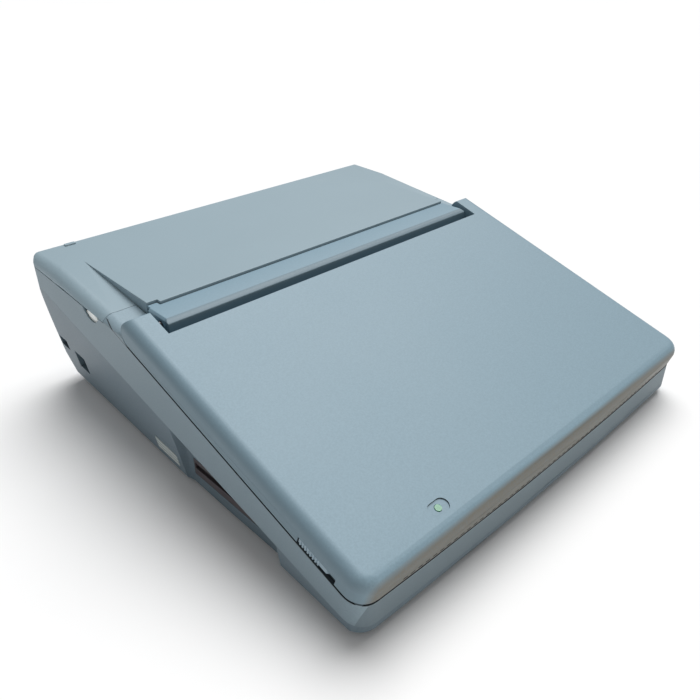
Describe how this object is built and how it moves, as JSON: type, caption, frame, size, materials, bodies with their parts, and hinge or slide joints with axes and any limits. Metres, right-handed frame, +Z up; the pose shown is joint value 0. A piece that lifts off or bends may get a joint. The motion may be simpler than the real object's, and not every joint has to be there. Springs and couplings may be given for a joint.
{
  "type": "portable word processor",
  "caption": "Portable electronic word processor, closed: a sloping display lid over the keyboard, a printer under the raised rear cover.",
  "frame": {"origin": "on the table, under the middle of the whole machine", "axes": "+X towards the user's right, +Y towards the rear, +Z up"},
  "size_m": [0.35, 0.3659, 0.1133],
  "materials": {
    "case_shell": "fine grained",
    "bezel_dark": "fine grained",
    "display_glass": "smooth",
    "module_metal": "smooth",
    "key_light": "fine grained",
    "key_grey": "fine grained",
    "key_base": "satin",
    "circuit_board": "satin",
    "drive_black": "satin",
    "steel": "brushed",
    "chassis_steel": "satin",
    "platen_rubber": "matte",
    "gear_plastic": "smooth",
    "knob_light": "smooth",
    "ribbon_black": "satin",
    "label_foil": "satin",
    "lens_green": "glossy"
  },
  "bodies": {
    "case": {"lower_case": "case_shell", "upper_case": "case_shell", "hinge_bar": "case_shell", "hinge_pins": "steel", "hinge_brackets": "steel", "rubber_feet": "platen_rubber", "label_plate": "label_foil", "screws": "steel", "keyboard_base": "key_base", "mainboard": "circuit_board", "power_board": "circuit_board", "speaker": "key_base", "power_switch": "module_metal", "power_jack": "drive_black", "line_socket": "drive_black", "floppy_drive": "drive_black", "printer_chassis": "chassis_steel", "guide_rods": "steel", "motors": "chassis_steel", "carriage_belt": "ribbon_black", "paper_guide": "chassis_steel"},
    "lid": {"lid_back_shell": "case_shell", "lid_bezel": "bezel_dark", "display_frame": "module_metal", "display_panel": "display_glass", "lid_boards": "circuit_board", "indicator_lens": "lens_green", "lid_bumpers": "platen_rubber"},
    "left_latch": {"latch_slider_left": "case_shell"},
    "right_latch": {"latch_slider_right": "case_shell"},
    "cover": {"printer_cover": "case_shell"},
    "power_key": {"power_button": "key_grey"},
    "dial": {"contrast_dial": "key_base"},
    "eject_key": {"drive_eject_button": "key_grey"},
    "door": {"drive_door": "drive_black"},
    "platen": {"platen_shaft": "steel", "platen_roller": "platen_rubber", "platen_knob": "knob_light", "platen_gear": "gear_plastic"},
    "idler": {"idler_gear": "gear_plastic"},
    "pinion": {"feed_pinion": "steel"},
    "bail": {"pinch_frame": "steel"},
    "rollers": {"pinch_rollers": "platen_rubber"},
    "lever": {"release_lever": "gear_plastic"},
    "printer_carriage": {"carriage": "gear_plastic", "ribbon_cassette": "ribbon_black"},
    "head": {"print_head": "gear_plastic"},
    "left_pulley": {"drive_pulley": "steel"},
    "right_pulley": {"idle_pulley": "gear_plastic"},
    "space_bar_group": {"space_bar": "key_light"},
    "lower_letter_keys_group": {"lower_letter_keys": "key_light"},
    "home_letter_keys_group": {"home_letter_keys": "key_light"},
    "upper_letter_keys_group": {"upper_letter_keys": "key_light"},
    "number_keys_group": {"number_keys": "key_light"},
    "function_keys_group": {"function_keys": "key_grey"},
    "enter_key_group": {"enter_key": "key_grey"},
    "edit_keys_group": {"edit_keys": "key_grey"},
    "modifier_keys_group": {"modifier_keys": "key_grey"},
    "cursor_keys_group": {"cursor_keys": "key_grey"}
  },
  "joints": [
    {"name": "lid_hinge", "type": "hinge", "parent": "case", "child": "lid", "pos_m": [0, 0.03104, 0.10172], "axis": [-1, 0, 0], "range_deg": [0, 125]},
    {"name": "left_latch_slide", "type": "slide", "parent": "lid", "child": "left_latch", "axis": [0, -0.9553, -0.2957], "range_m": [0, 0.0055], "stiffness_N_per_m": 150, "springref_m": -0.002},
    {"name": "right_latch_slide", "type": "slide", "parent": "lid", "child": "right_latch", "axis": [0, -0.9553, -0.2957], "range_m": [0, 0.0055], "stiffness_N_per_m": 150, "springref_m": -0.002},
    {"name": "cover_hinge", "type": "hinge", "parent": "case", "child": "cover", "pos_m": [0, 0.1806, 0.10551], "axis": [-1, 0, 0], "range_deg": [0, 70]},
    {"name": "space_bar_press", "type": "slide", "parent": "case", "child": "space_bar_group", "axis": [0, 0.2957, -0.9553], "range_m": [0, 0.003], "stiffness_N_per_m": 200, "springref_m": -0.002},
    {"name": "lower_letter_keys_press", "type": "slide", "parent": "case", "child": "lower_letter_keys_group", "axis": [0, 0.2957, -0.9553], "range_m": [0, 0.003], "stiffness_N_per_m": 200, "springref_m": -0.002},
    {"name": "home_letter_keys_press", "type": "slide", "parent": "case", "child": "home_letter_keys_group", "axis": [0, 0.2957, -0.9553], "range_m": [0, 0.003], "stiffness_N_per_m": 200, "springref_m": -0.002},
    {"name": "upper_letter_keys_press", "type": "slide", "parent": "case", "child": "upper_letter_keys_group", "axis": [0, 0.2957, -0.9553], "range_m": [0, 0.003], "stiffness_N_per_m": 200, "springref_m": -0.002},
    {"name": "number_keys_press", "type": "slide", "parent": "case", "child": "number_keys_group", "axis": [0, 0.2957, -0.9553], "range_m": [0, 0.003], "stiffness_N_per_m": 200, "springref_m": -0.002},
    {"name": "function_keys_press", "type": "slide", "parent": "case", "child": "function_keys_group", "axis": [0, 0.2957, -0.9553], "range_m": [0, 0.003], "stiffness_N_per_m": 200, "springref_m": -0.002},
    {"name": "enter_key_press", "type": "slide", "parent": "case", "child": "enter_key_group", "axis": [0, 0.2957, -0.9553], "range_m": [0, 0.003], "stiffness_N_per_m": 200, "springref_m": -0.002},
    {"name": "edit_keys_press", "type": "slide", "parent": "case", "child": "edit_keys_group", "axis": [0, 0.2957, -0.9553], "range_m": [0, 0.003], "stiffness_N_per_m": 200, "springref_m": -0.002},
    {"name": "modifier_keys_press", "type": "slide", "parent": "case", "child": "modifier_keys_group", "axis": [0, 0.2957, -0.9553], "range_m": [0, 0.003], "stiffness_N_per_m": 200, "springref_m": -0.002},
    {"name": "cursor_keys_press", "type": "slide", "parent": "case", "child": "cursor_keys_group", "axis": [0, 0.2957, -0.9553], "range_m": [0, 0.003], "stiffness_N_per_m": 200, "springref_m": -0.002},
    {"name": "power_press", "type": "slide", "parent": "case", "child": "power_key", "axis": [0, 0.2957, -0.9553], "range_m": [0, 0.002], "stiffness_N_per_m": 300, "springref_m": -0.002},
    {"name": "contrast_turn", "type": "hinge", "parent": "case", "child": "dial", "pos_m": [0.1, -0.0144, 0.06693], "axis": [1, 0, 0], "range_deg": [-135, 135]},
    {"name": "eject_press", "type": "slide", "parent": "case", "child": "eject_key", "axis": [1, 0, 0], "range_m": [0, 0.003], "stiffness_N_per_m": 300, "springref_m": -0.002},
    {"name": "drive_door_hinge", "type": "hinge", "parent": "case", "child": "door", "pos_m": [-0.1631, -0.0585, 0.0221], "axis": [0, -1, 0], "range_deg": [0, 85], "stiffness_Nm_per_rad": 0.0005, "springref_deg": -17.19},
    {"name": "platen_turn", "type": "hinge", "parent": "case", "child": "platen", "pos_m": [0, 0.086, 0.088], "axis": [1, 0, 0], "continuous": true},
    {"name": "idler_turn", "type": "hinge", "parent": "case", "child": "idler", "pos_m": [0.143, 0.11231, 0.07842], "axis": [1, 0, 0], "continuous": true},
    {"name": "pinion_turn", "type": "hinge", "parent": "case", "child": "pinion", "pos_m": [0.143, 0.12923, 0.07227], "axis": [1, 0, 0], "continuous": true},
    {"name": "bail_release", "type": "hinge", "parent": "case", "child": "bail", "pos_m": [0, 0.112, 0.066], "axis": [1, 0, 0], "range_deg": [0, 8]},
    {"name": "pinch_turn", "type": "hinge", "parent": "bail", "child": "rollers", "pos_m": [0, 0.09315, 0.07562], "axis": [1, 0, 0], "continuous": true},
    {"name": "release_lever_turn", "type": "hinge", "parent": "case", "child": "lever", "pos_m": [-0.133, 0.118, 0.084], "axis": [1, 0, 0], "range_deg": [0, 25]},
    {"name": "carriage_travel", "type": "slide", "parent": "case", "child": "printer_carriage", "axis": [1, 0, 0], "range_m": [0, 0.18]},
    {"name": "head_press", "type": "hinge", "parent": "printer_carriage", "child": "head", "pos_m": [-0.09, 0.063, 0.08], "axis": [-1, 0, 0], "range_deg": [0, 4]},
    {"name": "left_pulley_turn", "type": "hinge", "parent": "case", "child": "left_pulley", "pos_m": [-0.15, 0.0525, 0.057], "axis": [0, 1, 0], "range_deg": [0, 1580]},
    {"name": "right_pulley_turn", "type": "hinge", "parent": "case", "child": "right_pulley", "pos_m": [0.15, 0.0525, 0.057], "axis": [0, 1, 0], "range_deg": [0, 1580]}
  ],
  "couplings": [
    {"joint": "idler_turn", "follows": "platen_turn", "ratio": -1.3333},
    {"joint": "pinion_turn", "follows": "platen_turn", "ratio": 2.6667},
    {"joint": "pinch_turn", "follows": "platen_turn", "ratio": -1.8},
    {"joint": "release_lever_turn", "follows": "bail_release", "ratio": 3.125},
    {"joint": "left_pulley_turn", "follows": "carriage_travel", "rad_per_m": 151.52},
    {"joint": "right_pulley_turn", "follows": "carriage_travel", "rad_per_m": 151.52}
  ]
}
